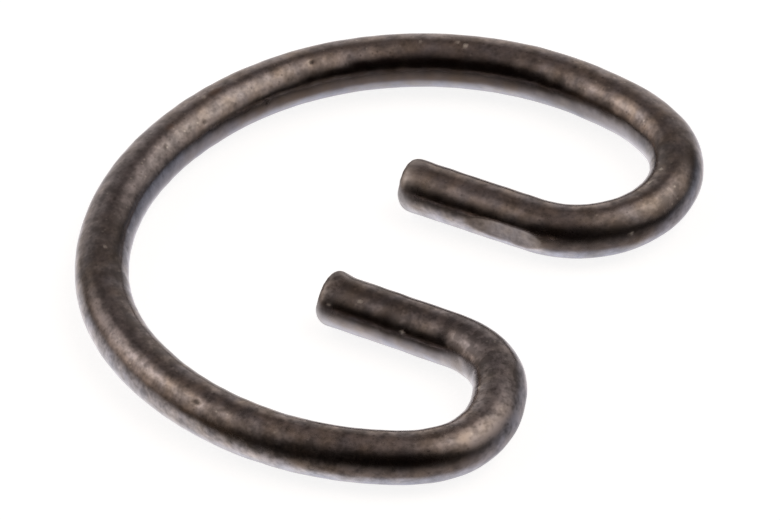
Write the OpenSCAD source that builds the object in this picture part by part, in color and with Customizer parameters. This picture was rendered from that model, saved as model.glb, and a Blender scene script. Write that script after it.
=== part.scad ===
// Wire retaining ring: one length of round spring wire, bent into an open circle. Each end turns back
// into the circle as a hook and finishes in a short straight tang, which pliers squeeze to fit the ring.
// The ring lies in the XY plane with its mouth towards +X. The origin is the centre of the circle, in
// the middle plane of the wire, and Z is the axis of the bore whose groove the ring springs into.

/* [Wire] */
// Diameter of the round spring wire
wire_d = 1.0; // [0.6:0.1:1.6]
// Rounding of the rim at the two cut ends
end_edge_r = 0.12; // [0.02:0.02:0.24]

/* [Ring] */
// Outside diameter of the ring when it is free
ring_od = 12.4; // [10:0.1:20]
// Angle of the mouth, between the points where the two hooks leave the circle
mouth_angle = 130; // [90:1:170]

/* [Hooks] */
// Inside radius of the bend at the root of each hook
hook_inside_r = 1.28; // [0.8:0.02:1.8]
// Straight length of each tang, from the end of its bend to its cut face
tang_length = 2.65; // [1:0.05:5]
// Angle at which both tangs lean towards +Y, away from parallel with the X axis
tang_lean = 2; // [-8:0.5:8]

/* [Hidden] */
$fn = 96;
spring_steel = [0.30, 0.27, 0.25];
wire_r = wire_d / 2;
// Radii of the wire's centreline, round the circle and round the bends
ring_r = (ring_od - wire_d) / 2;
bend_r = hook_inside_r + wire_r;
// Distance from the ring's centre to the centre of each bend
bend_offset = ring_r - bend_r;
// Half of the mouth, which is where each hook leaves the circle
mouth_half = mouth_angle / 2;
// Turn of a bend whose tang comes out parallel with the X axis
square_turn = 90 + mouth_half;

// Wire bent round the Z axis, counter-clockwise through a sweep that starts on the X axis
module wire_arc(radius, sweep) {
    rotate_extrude(angle = sweep)
        translate([radius, 0])
            circle(r = wire_r);
}

// Half of the lengthwise section of a tang: its side, its flat cut face and the rounded rim between them
module tang_section() {
    face_r = wire_r - end_edge_r;
    side_length = tang_length - end_edge_r;
    square([wire_r, side_length]);
    square([face_r, tang_length]);
    translate([face_r, side_length])
        circle(r = end_edge_r);
}

// Straight tang that runs along -Y from the origin to its cut face
module tang() {
    rotate([90, 0, 0])
        rotate_extrude()
            tang_section();
}

// Hook on the +Y side: the bend leaves the circle at the mouth, turns back inwards and ends in the tang
module hook(turn) {
    rotate([0, 0, mouth_half])
        translate([bend_offset, 0, 0])
            rotate([0, 0, -turn]) {
                wire_arc(bend_r, turn);
                translate([bend_r, 0, 0])
                    tang();
            }
}

// The whole ring, from one cut end to the other
module retaining_ring() {
    color(spring_steel)
        union() {
            rotate([0, 0, mouth_half])
                wire_arc(ring_r, 360 - mouth_angle);
            hook(square_turn + tang_lean);
            mirror([0, 1, 0])
                hook(square_turn - tang_lean);
        }
}

retaining_ring();
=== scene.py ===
import math

import bpy
import numpy as np
from mathutils import Matrix, Vector


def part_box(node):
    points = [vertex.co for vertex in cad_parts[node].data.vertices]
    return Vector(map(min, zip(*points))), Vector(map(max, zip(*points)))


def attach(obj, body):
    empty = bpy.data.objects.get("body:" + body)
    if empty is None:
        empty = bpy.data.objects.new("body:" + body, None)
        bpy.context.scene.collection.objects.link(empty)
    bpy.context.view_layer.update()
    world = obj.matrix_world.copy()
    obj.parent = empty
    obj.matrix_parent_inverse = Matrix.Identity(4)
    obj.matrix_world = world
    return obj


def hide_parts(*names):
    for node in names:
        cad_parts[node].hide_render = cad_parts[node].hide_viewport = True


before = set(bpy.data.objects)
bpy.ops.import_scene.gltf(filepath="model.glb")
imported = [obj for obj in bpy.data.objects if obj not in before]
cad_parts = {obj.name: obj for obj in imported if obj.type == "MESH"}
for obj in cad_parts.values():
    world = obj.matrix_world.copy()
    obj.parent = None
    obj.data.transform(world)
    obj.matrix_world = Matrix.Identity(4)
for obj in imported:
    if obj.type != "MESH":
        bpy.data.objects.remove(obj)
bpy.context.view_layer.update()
low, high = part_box("retaining_ring")
mm = 0.001
print("frame loaded:", ", ".join(sorted(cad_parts)))

# the bent wire, lengths in millimetres and angles in degrees; the two diameters come from the frame
ringWire = {
    "wireD": round((high[2] - low[2]) / mm, 1),
    "ringOd": round((high[1] - low[1]) / mm, 1),
    "mouthAngle": 130.0,    # between the places where the two hooks leave the circle
    "hookInsideR": 1.28,    # inside of each bend
    "tangLength": 2.65,     # straight, from the bend to the cut face
    "tangLean": 2.0,        # both tangs lean this much towards +Y
    # slight bows left by the bending: place along the wire, reach, how far the wire strays outwards there
    "bows": [
        (5.3, 2.5, -0.025), (8.1, 0.6, 0.035), (14.0, 3.0, 0.045), (17.5, 2.0, -0.03), (23.0, 2.0, 0.06),
        (26.6, 3.0, -0.05), (31.5, 0.6, 0.04), (33.0, 0.6, -0.045), (35.2, 1.0, -0.02),
    ],
    "rimDepth": 0.12,       # rounded rim of the cut ends, across the wire
    "rimLength": 0.20,      # and along it
    "wearAndSheenReach": 0.30,      # the finish is paler towards the cut ends: partly rubbed off by handling, partly a painted sheen on the rounded rims
    "domeHeight": 0.02,     # a sheared face stands a little proud in the middle
    "tearLine": 0.06,       # and its clean cut turns into a tear this far above the middle
    "tearDepth": 0.03,
    "tearSoft": 0.11,
    "tearBend": 0.05,       # the tear's edge wanders by this much
    "tearWaves": [(6.0, 0.8, 1.0), (17.0, 0.0, 0.4)],    # in waves: radians per mm, shift, share
    "tearTurn": (-9, 14),   # and is turned like this at the first and the last end
    "ridgePitch": 0.15,     # ridges of the torn part
    "ridgeHeight": 0.004,
    "ridgeBend": 1.5,       # radians by which their crests swing
    "ridgeSwing": 3.0,      # pitches in one swing
    "sides": 96,            # points round the wire
    "spacing": 0.042,       # stations along the wire
    "faceRings": 15,        # rings of points on a cut face
    "faceStart": 0.06,      # the smallest of them, as a share of the face
    "rimRings": 13,         # rings of points on a rounded rim
    "waves": 60,            # unevenness of the drawn wire, as a sum of this many sine waves
    "waveHeight": 0.0032,   # typical height of the sum, if all of them were long
    "waveAround": 6,        # at most this many waves round the wire
    "waveAlong": (0.3, 2.6),    # waves per mm along it
    "waveFade": (6.0, 3.0),     # radians per mm and waves round from which they get lower
    "seed": 7,
    "burrHeight": 0.06,     # the shears left the last end a little proud on one side
    "burrLength": 0.5,
    "burrAround": 54.0,
    "slantRise": 0.08,      # the first end is cut a little aslant, and is this much longer on one side
    "slantAround": 115.0,
    "slantReach": 0.6,
    "flatDepth": 0.042,     # the bending tool pressed a slight flat into the first tang
    "flatAround": 3.0,
    "flatSpan": (2.2, 2.6),     # full depth between these places along the wire
    "flatRunout": (0.08, 0.30),     # depth lost at 1 mm before and after them
}

# marks on the wire: place along it from the first cut face, place round it (0 outwards, 90 up), length,
# width, strength
surfaceMarks = {
    "fleck": [
        (21.75, 99, 0.08, 0.06, 0.5), (5.67, 109, 0.08, 0.07, 1.0), (5.19, 110, 0.11, 0.07, 1.0),
        (4.31, 18, 0.07, 0.06, 1.0), (35.93, 154, 0.09, 0.07, 1.0), (36.93, 122, 0.10, 0.07, 0.4),
        (32.91, 130, 0.12, 0.08, 1.0), (11.74, 103, 0.06, 0.13, 0.9), (37.50, 150, 0.08, 0.06, 0.8),
        (16.98, 87, 0.09, 0.08, 0.6), (11.90, 95, 0.07, 0.08, 0.6), (12.59, 97, 0.06, 0.08, 0.5),
    ],
    "pit": [
        (26.53, 55, 0.16, 0.10, 1.0), (18.47, 122, 0.09, 0.07, 0.7), (17.73, 127, 0.10, 0.07, 0.7),
        (17.38, 137, 0.10, 0.08, 0.7), (15.87, 166, 0.09, 0.07, 0.7), (14.73, 114, 0.10, 0.07, 1.0),
    ],
    "rust": [(16.72, 90, 0.34, 0.15, 0.7), (18.03, 97, 0.20, 0.12, 0.5)],
    "height": {"fleck": 0.006, "pit": -0.014, "rust": 0.002},
}

# broad soft patches on the wire, given in the same way; a dull one is rougher, a dark one lowers the tone by
# its strength, partly as a darker finish and partly as painted shade under and inside the wire and at the
# ends of highlights, a pale one raises it as painted highlights and painted reflections of the table, a cool
# one is greyer and a mottled one makes the stains stronger
finishPatches = {
    "dull": [
        (34.2, 100, 1.3, 0.75, 0.80), (28.5, 40, 3.2, 0.6, 0.50), (32.4, 20, 2.4, 1.5, 0.85),
        (4.0, 33, 2.2, 0.6, 0.40),
    ],
    # partly a darker finish, partly painted shade: the patches near 190 to 205 degrees paint the shade under
    # and inside the wire, and some others cut highlights short
    "darkFinishAndShade": [
        (34.6, 120, 2.0, 1.0, 0.45), (22.0, 100, 5.5, 1.1, 0.30), (36.4, 110, 3.2, 1.4, 0.50),
        (9.3, 205, 2.6, 0.7, 0.60), (24.3, 118, 5.0, 0.7, 0.40), (3.0, 190, 8.0, 1.0, 0.50),
        (36.0, -5, 6.0, 1.0, 0.50), (28.5, 190, 9.0, 0.9, 0.50), (4.7, 44, 1.6, 0.45, 0.35),
        (26.6, 70, 1.8, 0.8, 0.20), (5.9, 122, 1.7, 0.55, 0.60), (7.6, 158, 2.8, 0.38, 0.60),
        (6.0, 60, 1.0, 0.5, 0.45),
    ],
    # painted light: a lighter tone where the reflections of the table and of the lights are meant to look
    # brighter
    "paintedLight": [
        (32.0, 4, 2.6, 0.7, 0.50), (36.6, 186, 2.8, 0.6, 0.12), (23.7, 62, 1.6, 0.5, 0.30),
        (28.13, 0, 0.4, 0.2, 0.50), (28.6, -4, 0.4, 0.2, 0.50), (29.55, 12, 0.4, 0.2, 0.40),
        (29.8, -3, 0.4, 0.2, 0.50), (12.72, 155, 0.4, 0.2, 0.50), (7.6, 207, 2.6, 0.45, 0.50),
        (2.3, 5, 1.8, 0.4, 0.25),
    ],
    "cool": [
        (19.6, 120, 4.0, 1.6, 1.0), (34.2, 110, 2.2, 1.0, 0.9), (32.9, 70, 1.8, 0.8, 0.8),
        (23.8, 60, 2.0, 0.8, 1.0), (7.6, 200, 3.0, 0.6, 1.0),
    ],
    "mottled": [
        (33.0, 60, 5.5, 2.6, 0.8), (29.5, 70, 4.0, 1.2, 0.5), (24.8, 60, 4.0, 1.2, 0.4),
        (28.8, 12, 5.0, 0.7, 0.9),
    ],
}


def smoothStep(t):
    # 0 up to t = 0, 1 from t = 1 on, and 3 t^2 - 2 t^3 between
    t = np.clip(t, 0, 1)
    return t * t * (3 - 2 * t)


def wireStretches(p):
    # lengths and curvatures of the five stretches: tang, bend, circle, bend, tang
    wireR = p["wireD"] / 2
    ringR = (p["ringOd"] - p["wireD"]) / 2
    bendR = p["hookInsideR"] + wireR
    half = math.radians(p["mouthAngle"] / 2)
    lean = math.radians(p["tangLean"])
    turns = np.array([0, math.pi / 2 + half + lean, 2 * (math.pi - half), math.pi / 2 + half - lean, 0])
    radii = np.array([math.inf, bendR, ringR, bendR, math.inf])
    lengths = np.where(turns > 0, turns * np.where(turns > 0, radii, 0), p["tangLength"])
    return lengths, 1 / radii, -lean, ringR


def chord(t, k, h):
    # from the start to the end of an arc of length t and curvature k whose first heading is h: the chord is
    # t * sin(k t / 2) / (k t / 2) long, at the mean heading
    mean = h + k * t / 2
    return (t * np.sinc(k * t / 2 / np.pi))[:, None] * np.stack([np.cos(mean), np.sin(mean)], 1)


def wireLine(s, p):
    # centreline of the wire at the lengths s from its first cut face. The heading grows by curvature times
    # length; within a stretch the point is one chord from its start. The circle's centre is the origin.
    lengths, curvatures, heading, ringR = wireStretches(p)
    begins = np.concatenate([[0], np.cumsum(lengths)])
    headings = heading + np.concatenate([[0], np.cumsum(lengths * curvatures)])
    corners = np.concatenate([[[0, 0]], np.cumsum(chord(lengths, curvatures, headings[:-1]), 0)])
    corners -= corners[2] + ringR * np.array([-np.sin(headings[2]), np.cos(headings[2])])
    k = np.clip(np.searchsorted(begins, s, side="right") - 1, 0, len(lengths) - 1)
    t = s - begins[k]
    return corners[k] + chord(t, curvatures[k], headings[k]), headings[k] + curvatures[k] * t


def bowedLine(s, p):
    # the centreline with its slight bows: each moves the wire outwards by its height times exp(-t^2), where
    # t is the distance from its middle over its reach, and turns the heading by the slope of that
    line, heading = wireLine(s, p)
    along, reach, height = np.array(p["bows"]).T
    t = (s[:, None] - along) / reach
    stray = height * np.exp(-t * t)
    out = np.stack([np.sin(heading), -np.cos(heading)], 1)
    return line + stray.sum(1)[:, None] * out, heading + (2 * t / reach * stray).sum(1)


def wireProfile(p):
    # length and radius of every ring of points: out over the cut face, round the rim on a quarter ellipse,
    # along the wire at its full radius, and back the same way at the other end
    total = wireStretches(p)[0].sum()
    wireR, deep, far = p["wireD"] / 2, p["rimDepth"], p["rimLength"]
    face = np.linspace(p["faceStart"], 1, p["faceRings"] + 1)[:-1] * (wireR - deep)
    a = np.linspace(0, math.pi / 2, p["rimRings"])
    rimS, rimR = far * (1 - np.cos(a)), wireR - deep + deep * np.sin(a)
    count = int((total - 2 * far) / p["spacing"])
    along = np.linspace(far, total - far, count + 1)[1:-1]
    s = np.concatenate([face * 0, rimS, along, total - rimS[::-1], face * 0 + total])
    r = np.concatenate([face, rimR, along * 0 + wireR, rimR[::-1], face[::-1]])
    cut = np.clip((wireR - r) / deep, 0, 1)
    return s, r, cut, total


def shearedFace(x, y, p):
    # height of a cut face at the places x, y: a parabolic dome, less a smooth step where the clean cut turns
    # into a tear, on a line bent by two sines, plus sine ridges on the torn part whose crests are bent too
    wander = sum(share * np.sin(rate * x + shift) for rate, shift, share in p["tearWaves"])
    edge = p["tearLine"] + p["tearBend"] * wander
    torn = smoothStep((y - edge) / p["tearSoft"] / 2 + 0.5)
    turn = 2 * np.pi / p["ridgePitch"]
    ridges = np.sin(turn * x + p["ridgeBend"] * np.sin(turn * y / p["ridgeSwing"]))
    dome = 1 - (x * x + y * y) / (p["wireD"] / 2 - p["rimDepth"]) ** 2
    return p["domeHeight"] * dome + torn * (p["ridgeHeight"] * ridges - p["tearDepth"]), torn


def unevenness(s, v, p):
    # sum of sine waves with whole numbers of waves round the wire, so that it closes on itself, over the
    # root of half their number; a wave's height falls as one over the root of one plus the squares of its
    # rates along and round the wire, each taken over the rate from which it fades
    rng = np.random.default_rng(p["seed"])
    n = p["waves"]
    around = rng.integers(-p["waveAround"], p["waveAround"] + 1, n)
    along = rng.uniform(*p["waveAlong"], n) * 2 * np.pi
    shift = rng.uniform(0, 2 * np.pi, n)
    fadeAlong, fadeAround = p["waveFade"]
    height = p["waveHeight"] / np.sqrt(1 + (along / fadeAlong) ** 2 + (around / fadeAround) ** 2)
    out = np.zeros((len(s), len(v)))
    for k in range(n):
        out += height[k] * np.sin(along[k] * s[:, None] + around[k] * v[None, :] + shift[k])
    return out / math.sqrt(n / 2)


def burr(s, v, total, p):
    # one-sided swelling towards the last cut face: a smooth step along the wire times the squared cosine
    # of the angle from its highest side
    grown = smoothStep((s - total + p["burrLength"]) / p["burrLength"])
    side = np.clip(np.cos(v - math.radians(p["burrAround"])), 0, 1)
    return p["burrHeight"] * grown[:, None] * side[None, :] ** 2


def slant(s, r, v, p):
    # how far the slanted first end reaches out: half the rise times one plus the share of the full radius
    # times the cosine of the angle from the longest side, fading by a smooth step along the wire
    left = 1 - smoothStep(s / p["slantReach"])
    side = (r / p["wireD"] * 2)[:, None] * np.cos(v - math.radians(p["slantAround"]))[None, :]
    return p["slantRise"] / 2 * left[:, None] * (1 + side)


def pressedFlat(s, v, p):
    # radius at which the pressed flat cuts the wire: its distance from the wire's middle over the cosine of
    # the angle from its own middle; the distance grows with the square of the way past its ends
    before = np.maximum(p["flatSpan"][0] - s, 0)
    after = np.maximum(s - p["flatSpan"][1], 0)
    runout = p["flatRunout"][0] * before ** 2 + p["flatRunout"][1] * after ** 2
    away = p["wireD"] / 2 - p["flatDepth"] + runout
    leastCosine = 0.1    # the other side of the wire is out of the flat's reach
    side = np.maximum(np.cos(v - math.radians(p["flatAround"])), leastCosine)
    return away[:, None] / side[None, :]


def spotField(s, v, p, spots, power):
    # the largest of some round bumps, each its strength times exp(-d^power), where d is the distance from
    # the bump's middle in half lengths along the wire and half widths round it; a high power makes it flat
    field = np.zeros((len(s), len(v)))
    for along, around, length, width, strength in spots:
        turn = (v - math.radians(around) + np.pi) % (2 * np.pi) - np.pi
        d2 = ((s - along) * 2 / length)[:, None] ** 2 + (turn * p["wireD"] / width)[None, :] ** 2
        field = np.maximum(field, strength * np.exp(-d2 ** (power / 2)))
    return field


def gridMesh(name, points, poles):
    # points is a grid of rings; quads join each ring to the next, and a fan closes each end on its pole
    rings, sides = points.shape[:2]
    i = np.arange(rings - 1)[:, None] * sides
    j = np.arange(sides)
    jn = (j + 1) % sides
    quads = np.stack([i + j, i + jn, i + sides + jn, i + sides + j], -1).reshape(-1, 4)
    first, last = rings * sides, rings * sides + 1
    end = (rings - 1) * sides
    firstFan = np.stack([j * 0 + first, jn, j], 1)
    lastFan = np.stack([j * 0 + last, end + j, end + jn], 1)
    mesh = bpy.data.meshes.new(name)
    verts = np.concatenate([points.reshape(-1, 3), poles])
    mesh.from_pydata(verts.tolist(), [], quads.tolist() + firstFan.tolist() + lastFan.tolist())
    mesh.shade_smooth()
    return mesh


def pointField(mesh, name, grid, ends):
    # one number for every point of the grid and for the two poles
    values = np.concatenate([grid.ravel(), ends])
    mesh.attributes.new(name, "FLOAT", "POINT").data.foreach_set("value", values)


def makeRing(p, marks, patches):
    # a circle of points round each station of the centreline, in the plane of the outward and upward
    # directions there, at the profile's radius plus the unevenness, the burr and the marks, but no further
    # out than the pressed flat; the ends also move out along the wire by the sheared face and the slant
    s, r, cut, total = wireProfile(p)
    v = np.arange(p["sides"]) / p["sides"] * 2 * np.pi
    line, heading = bowedLine(s, p)
    fields = {kind: spotField(s, v, p, marks[kind], power=4) for kind in marks["height"]}
    relief = unevenness(s, v, p) + burr(s, v, total, p)
    for kind, height in marks["height"].items():
        relief += height * fields[kind]
    side = (1 - cut)[:, None]
    radius = np.minimum(r[:, None] + side * relief, pressedFlat(s, v, p))
    out = np.stack([np.sin(heading), -np.cos(heading), heading * 0], 1)
    on = np.stack([np.cos(heading), np.sin(heading), heading * 0], 1)
    up = np.array([0.0, 0.0, 1.0])
    centre = np.concatenate([line, line[:, :1] * 0], 1)
    section = np.cos(v)[None, :, None] * out[:, None, :] + np.sin(v)[None, :, None] * up
    firstHalf = s < total / 2
    turned = v + np.radians(np.where(firstHalf, *p["tearTurn"]))[:, None]
    rise, torn = shearedFace(r[:, None] * np.cos(turned), r[:, None] * np.sin(turned), p)
    faceOut = np.where(firstHalf, -1, 1)[:, None] * cut[:, None] * rise - slant(s, r, v, p)
    points = centre[:, None, :] + radius[..., None] * section + faceOut[..., None] * on[:, None, :]
    middleRise, middleTorn = shearedFace(np.zeros(1), np.zeros(1), p)
    poleOut = np.array([-middleRise[0] - p["slantRise"] / 2, middleRise[0]])
    poles = centre[[0, -1]] + poleOut[:, None] * on[[0, -1]]
    mesh = gridMesh("springWire", points * mm, poles * mm)
    # where each point would be on the straightened wire, for the textures
    unbent = np.stack([s[:, None] + radius * 0, radius * np.cos(v), radius * np.sin(v)], -1)
    unbent = np.concatenate([unbent.reshape(-1, 3), [[0, 0, 0], [total, 0, 0]]])
    mesh.attributes.new("unbent", "FLOAT_VECTOR", "POINT").data.foreach_set("vector", unbent.ravel())
    for kind, spots in patches.items():
        fields[kind] = spotField(s, v, p, spots, power=2)
    # wear and painted sheen fall off as exp(-t^2), where t is the distance from the nearer cut end over its
    # reach
    t = np.minimum(s, total - s) / p["wearAndSheenReach"]
    fields["wornAndSheen"] = np.broadcast_to(np.exp(-t * t)[:, None], radius.shape)
    for kind, field in fields.items():
        pointField(mesh, kind, field, [0, 0])
    pointField(mesh, "cut", np.broadcast_to(cut[:, None], radius.shape), [1, 1])
    pointField(mesh, "torn", torn, [middleTorn[0], middleTorn[0]])
    ring = bpy.data.objects.new("springWire", mesh)
    bpy.context.scene.collection.objects.link(ring)
    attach(ring, "root")
    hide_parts("retaining_ring")
    print("wire:", len(s), "stations,", len(mesh.polygons), "faces,", round(total, 2), "mm long")
    return ring


ring = makeRing(ringWire, surfaceMarks, finishPatches)


def addNode(tree, kind, inputs, **settings):
    # one shader node; an input is a fixed value or the output that feeds it
    made = tree.nodes.new("ShaderNode" + kind)
    for name, value in settings.items():
        setattr(made, name, value)
    for name, value in inputs.items():
        if isinstance(value, bpy.types.NodeSocket):
            tree.links.new(value, made.inputs[name])
        else:
            made.inputs[name].default_value = value
    return made


def reckon(tree, operation, *values):
    # one sum of numbers in a shader
    return addNode(tree, "Math", dict(enumerate(values)), operation=operation).outputs[0]


def ranged(tree, value, start, stop, least=0.0, most=1.0, run="LINEAR"):
    # least where the value is at start, most where it is at stop, with a straight or smooth run between
    ends = {"Value": value, "From Min": start, "From Max": stop, "To Min": least, "To Max": most}
    return addNode(tree, "MapRange", ends, interpolation_type=run).outputs[0]


def facing(tree, way, direction):
    # how far a vector in a shader points in one direction
    return addNode(tree, "VectorMath", {0: way, 1: direction}, operation="DOT_PRODUCT").outputs["Value"]


# oil-tempered spring steel; texture scales are per millimetre of wire, shares are weights in the tone
temperedSteel = {
    "darkOxide": (0.18, 0.155, 0.144, 1),
    "paleOxide": (0.45, 0.391, 0.366, 1),
    "warmTint": (1.05, 1.0, 0.92, 1),
    "coolTint": (0.96, 1.0, 1.08, 1),
    "fleckColour": (0.85, 0.79, 0.71, 1),
    "pitColour": (0.09, 0.075, 0.065, 1),
    "rustColour": (0.30, 0.21, 0.16, 1),
    # paler bare metal at the cut ends, partly a painted sheen on the rounded rims
    "wornAndSheenColour": (0.62, 0.58, 0.55, 1),
    "cutColour": (0.42, 0.39, 0.37, 1),
    "tornColour": (0.25, 0.23, 0.215, 1),
    "toneSpread": 0.5,            # the tone is all dark or all pale this far from its middle
    "roughness": (0.27, 0.16),    # in the hollows and on the tops of the lumps
    "lumpWindow": (0.3, 0.7),     # where the lumps' noise counts as a hollow and as a top
    "fleckRoughness": 0.60,
    "wornRoughness": 0.48,
    "dullRoughness": 0.46,
    "cutRoughness": 0.30,
    "tornRoughness": 0.50,
    "clouds": {"scale": 1.5, "detail": 2, "share": 0.5},
    "lumps": {"scale": 4.2, "detail": 2, "share": 1.7},
    "grain": {"scale": 13.0, "detail": 2, "share": 0.9},
    "streaks": {"scale": 9.0, "detail": 2, "share": 0.5, "stretch": (0.12, 1, 1)},
    "tint": {"scale": 2.6, "detail": 2, "window": (0.3, 0.7)},
    # round dots at the middles of some of the cells of a Voronoi pattern
    "pores": {"scale": 5.0, "spot": (0.10, 0.30), "chosen": 0.58, "strength": 0.40},
    "finePores": {"scale": 9.0, "spot": (0.08, 0.30), "chosen": 0.56, "strength": 0.45},
    "specks": {"scale": 7.0, "spot": (0.05, 0.24), "chosen": 0.66, "strength": 0.24},
    # scores on the cut faces
    "shear": {"scale": 24.0, "detail": 2, "stretch": (0.1, 1, 0.1), "window": (0.35, 0.65), "strength": 0.6},
    # sides that the bending tool and the tray rubbed smooth: degrees round the wire, where the stains start
    # and stop fading, in mm from the wire's middle towards that side, and by how much they fade
    "smoothSides": [(218, 0.12, 0.44, 0.85), (302, 0.20, 0.48, 0.50)],
    "lumpDepth": 0.0010,          # mm
    "shearDepth": 0.004,
}


def steelMaterial(p):
    mat = bpy.data.materials.new("temperedSteel")
    mat.use_nodes = True
    tree = mat.node_tree
    shader = tree.nodes["Principled BSDF"]
    shader.inputs["Metallic"].default_value = 1
    place = addNode(tree, "Attribute", {}, attribute_name="unbent").outputs["Vector"]
    field = {}
    for kind in ("fleck", "pit", "rust", "wornAndSheen", "cut", "torn", "dull", "darkFinishAndShade", "paintedLight", "cool", "mottled"):
        field[kind] = addNode(tree, "Attribute", {}, attribute_name=kind).outputs["Fac"]

    def noise(q):
        pulled = place
        if "stretch" in q:
            pull = {0: place, 1: q["stretch"]}
            pulled = addNode(tree, "VectorMath", pull, operation="MULTIPLY").outputs[0]
        made = addNode(tree, "TexNoise", {"Vector": pulled, "Scale": q["scale"], "Detail": q["detail"]})
        return made.outputs["Fac"]

    def dots(q):
        cells = addNode(tree, "TexVoronoi", {"Vector": place, "Scale": q["scale"]}).outputs
        core, edge = q["spot"]
        dot = ranged(tree, cells["Distance"], edge, core, most=q["strength"], run="SMOOTHSTEP")
        some = reckon(tree, "GREATER_THAN", cells["Color"], q["chosen"])
        return reckon(tree, "MULTIPLY", dot, some)

    def mixed(factor, a, b, way="MIX"):
        return addNode(tree, "Mix", {0: factor, 6: a, 7: b}, data_type="RGBA", blend_type=way).outputs[2]

    def between(factor, a, b):
        return addNode(tree, "Mix", {0: factor, 2: a, 3: b}, data_type="FLOAT").outputs[0]

    layers = {}
    tone, middle = 0.0, 0.0
    for name in ("clouds", "lumps", "grain", "streaks"):
        share = p[name]["share"]
        layers[name] = noise(p[name])
        tone = reckon(tree, "MULTIPLY_ADD", layers[name], share, tone)
        middle += share / 2
    even = 0.0
    for around, start, stop, share in p["smoothSides"]:
        turn = math.radians(around)
        side = facing(tree, place, (0, math.cos(turn), math.sin(turn)))
        fade = ranged(tree, side, start, stop, most=share, run="SMOOTHSTEP")
        even = reckon(tree, "MAXIMUM", fade, even)
    tone = between(even, tone, middle)
    stain = reckon(tree, "SUBTRACT", tone, middle)
    tone = reckon(tree, "MULTIPLY_ADD", stain, field["mottled"], tone)
    # lower the tone: partly a darker finish, partly painted shade
    tone = reckon(tree, "SUBTRACT", tone, field["darkFinishAndShade"])
    # raise the tone by the painted highlights and painted reflections
    tone = reckon(tree, "ADD", tone, field["paintedLight"])
    tone = ranged(tree, tone, middle - p["toneSpread"], middle + p["toneSpread"])
    paint = mixed(tone, p["darkOxide"], p["paleOxide"])
    tint = ranged(tree, noise(p["tint"]), *p["tint"]["window"])
    tint = between(field["cool"], tint, 1.0)
    paint = mixed(1.0, paint, mixed(tint, p["warmTint"], p["coolTint"]), "MULTIPLY")
    for name, colour in (("pores", "pitColour"), ("finePores", "pitColour"), ("specks", "fleckColour")):
        paint = mixed(between(even, dots(p[name]), 0), paint, p[colour])
    # bare metal on the cut faces, scored by the shears
    scores = noise(p["shear"])
    rubbed = ranged(tree, scores, *p["shear"]["window"], most=p["shear"]["strength"])
    bare = mixed(field["torn"], mixed(rubbed, p["cutColour"], p["tornColour"]), p["tornColour"])
    # paler towards the cut ends: partly rubbed-off finish, partly a painted sheen on the rims
    paint = mixed(field["wornAndSheen"], paint, mixed(tone, paint, p["wornAndSheenColour"]))
    paint = mixed(field["cut"], paint, bare)
    for kind in ("rust", "pit", "fleck"):
        paint = mixed(field[kind], paint, p[kind + "Colour"])
    tree.links.new(paint, shader.inputs["Base Color"])
    gloss = ranged(tree, layers["lumps"], *p["lumpWindow"], *p["roughness"])
    gloss = between(field["dull"], gloss, p["dullRoughness"])
    gloss = between(field["wornAndSheen"], gloss, p["wornRoughness"])
    gloss = between(field["fleck"], gloss, p["fleckRoughness"])
    gloss = between(field["cut"], gloss, between(field["torn"], p["cutRoughness"], p["tornRoughness"]))
    tree.links.new(gloss, shader.inputs["Roughness"])
    # relief in millimetres: lumps all over, scores on the cut faces
    lumpy = reckon(tree, "MULTIPLY", layers["lumps"], p["lumpDepth"])
    scored = reckon(tree, "MULTIPLY", scores, p["shearDepth"])
    relief = between(field["cut"], lumpy, scored)
    bump = addNode(tree, "Bump", {"Height": relief, "Distance": mm, "Strength": 1.0})
    tree.links.new(bump.outputs["Normal"], shader.inputs["Normal"])
    return mat


ring.data.materials.append(steelMaterial(temperedSteel))
print("steel done")

# the camera
photoView = {
    "azimuth": 29.14,    # degrees, 0 looks along +Y
    "elevation": 39.75,
    "roll": -2.57,
    "distance": 400.0,   # mm
    "pixelsPerMm": 54.358,
    "aim": (0.4314, 0.0455),   # mm, how far the ring's centre lies right of and above the picture's middle
    "frameWidth": 780,   # pixels
    "sensorWidth": 36.0,    # mm
    "clip": (0.01, 20.0),   # metres
}


def towards(azimuth, elevation):
    # direction that a viewer at this azimuth and elevation stands in; azimuth 0 looks along +Y
    a, e = math.radians(azimuth), math.radians(elevation)
    return Vector((math.sin(a) * math.cos(e), -math.cos(a) * math.cos(e), math.sin(e)))


def addCamera(p):
    back = towards(p["azimuth"], p["elevation"])
    level = Vector((0, 0, 1)).cross(back).normalized()
    roll = math.radians(p["roll"])
    right = level * math.cos(roll) + back.cross(level) * math.sin(roll)
    up = back.cross(right)
    cam = bpy.data.cameras.new("photoView")
    cam.sensor_width = p["sensorWidth"]
    cam.lens = p["pixelsPerMm"] * p["distance"] * p["sensorWidth"] / p["frameWidth"]
    cam.clip_start, cam.clip_end = p["clip"]
    ob = bpy.data.objects.new("photoView", cam)
    turn = Matrix((right, up, back)).transposed().to_4x4()
    place = (back * p["distance"] - right * p["aim"][0] - up * p["aim"][1]) * mm
    ob.matrix_world = Matrix.Translation(place) @ turn
    bpy.context.scene.collection.objects.link(ob)
    bpy.context.scene.camera = ob
    print("camera at", [round(c / mm, 1) for c in place], "mm, lens", round(cam.lens, 1))


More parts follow.
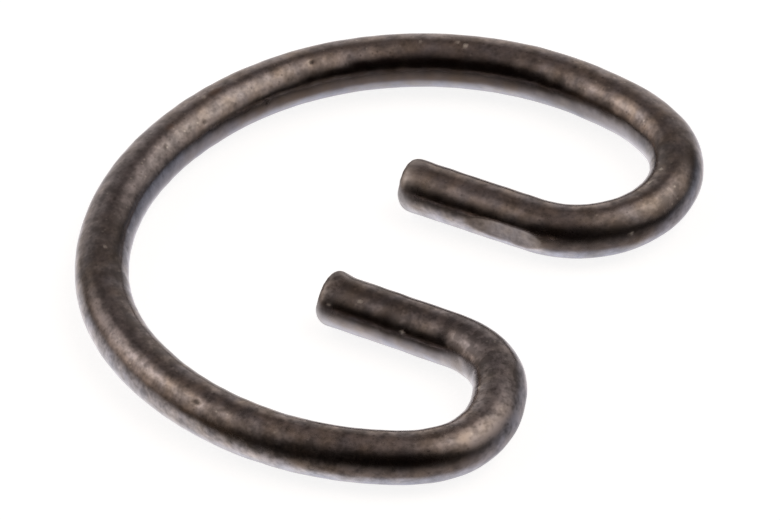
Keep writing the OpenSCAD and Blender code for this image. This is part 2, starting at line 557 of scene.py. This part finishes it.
# a white table in a dark room with large soft lights
studio = {
    "tableSize": 4.0,       # metres
    "tableGap": 0.006,      # mm under the wire
    "tableGlow": 0.85,
    "tablePaint": (0.55, 0.55, 0.55, 1),
    "backdrop": (1, 1, 1, 1),    # what the camera sees past the table
    "roomDark": (0.004, 0.002, 0.0015),
    # degrees to the right of the camera, degrees up, half angles of the bright middle and the edge, colour
    "softLights": {
        "rightBox": (93, 46, 4, 51, (0.72, 0.64, 0.59)),
        "rightHot": (97, 51, 4, 29, (0.37, 0.38, 0.35)),
        "leftBox": (-103, 34, 4, 40, (0.69, 0.61, 0.56)),
        "leftHot": (-102, 40, 7, 17, (0.59, 0.57, 0.56)),
        "overhead": (170, 76, 12, 61, (0.19, 0.16, 0.15)),
        "wallBehind": (183, -13, 5, 59, (0.67, 0.62, 0.60)),
        "wallLeft": (-98, -2, 5, 43, (0.13, 0.09, 0.06)),
        "tableBelow": (2, -88, 4, 39, (0.57, 0.69, 0.88)),
        "tableFront": (6, -80, 5, 88, (0.36, 0.32, 0.30)),
        "tableLeft": (-105, -42, 2, 49, (0.86, 0.91, 1.00)),
        "tableRight": (120, -36, 3, 50, (0.37, 0.41, 0.50)),
        "tableBack": (185, -43, 6, 34, (0.26, 0.28, 0.34)),
    },
}


def addTable(p):
    # the table is white to the camera and keeps the wire's shadow; mirror and glass rays pass through it
    # to the white glow that the room has below, so the steel shows the white table with its falloff
    half = p["tableSize"] / 2
    z = (-ringWire["wireD"] / 2 - p["tableGap"]) * mm
    corners = [(-half, -half, z), (half, -half, z), (half, half, z), (-half, half, z)]
    mesh = bpy.data.meshes.new("whiteTable")
    mesh.from_pydata(corners, [], [(0, 1, 2, 3)])
    table = bpy.data.objects.new("whiteTable", mesh)
    bpy.context.scene.collection.objects.link(table)
    mat = bpy.data.materials.new("whiteTable")
    mat.use_nodes = True
    tree = mat.node_tree
    tree.nodes.clear()
    ray = addNode(tree, "LightPath", {}).outputs
    strength = reckon(tree, "MULTIPLY", ray["Is Camera Ray"], p["tableGlow"])
    glow = addNode(tree, "Emission", {"Strength": strength}).outputs[0]
    paint = addNode(tree, "BsdfDiffuse", {"Color": p["tablePaint"]}).outputs[0]
    both = addNode(tree, "AddShader", {0: glow, 1: paint}).outputs[0]
    mirrored = reckon(tree, "MAXIMUM", ray["Is Glossy Ray"], ray["Is Transmission Ray"])
    clear = addNode(tree, "BsdfTransparent", {}).outputs[0]
    mix = addNode(tree, "MixShader", {0: mirrored, 1: both, 2: clear}).outputs[0]
    addNode(tree, "OutputMaterial", {"Surface": mix})
    mesh.materials.append(mat)


def addRoom(p):
    # each light is its colour times a smooth step of the cosine of the angle from its middle
    world = bpy.data.worlds.new("softRoom")
    bpy.context.scene.world = world
    world.use_nodes = True
    tree = world.node_tree
    tree.nodes.clear()
    way = addNode(tree, "TexCoord", {}).outputs["Generated"]
    total = p["roomDark"]
    for right, up, core, edge, colour in p["softLights"].values():
        cosine = facing(tree, way, towards(photoView["azimuth"] + right, up))
        start, stop = math.cos(math.radians(edge)), math.cos(math.radians(core))
        share = ranged(tree, cosine, start, stop, run="SMOOTHSTEP")
        light = {0: share, 1: colour, 2: total}
        total = addNode(tree, "VectorMath", light, operation="MULTIPLY_ADD").outputs[0]
    ray = addNode(tree, "LightPath", {}).outputs
    lit = addNode(tree, "Background", {"Color": total}).outputs[0]
    white = addNode(tree, "Background", {"Color": p["backdrop"]}).outputs[0]
    mix = addNode(tree, "MixShader", {0: ray["Is Camera Ray"], 1: lit, 2: white}).outputs[0]
    addNode(tree, "OutputWorld", {"Surface": mix})
    print("room:", len(p["softLights"]), "soft lights")


addTable(studio)
addCamera(photoView)
addRoom(studio)
bpy.context.scene.view_settings.view_transform = "Standard"
print("studio done")
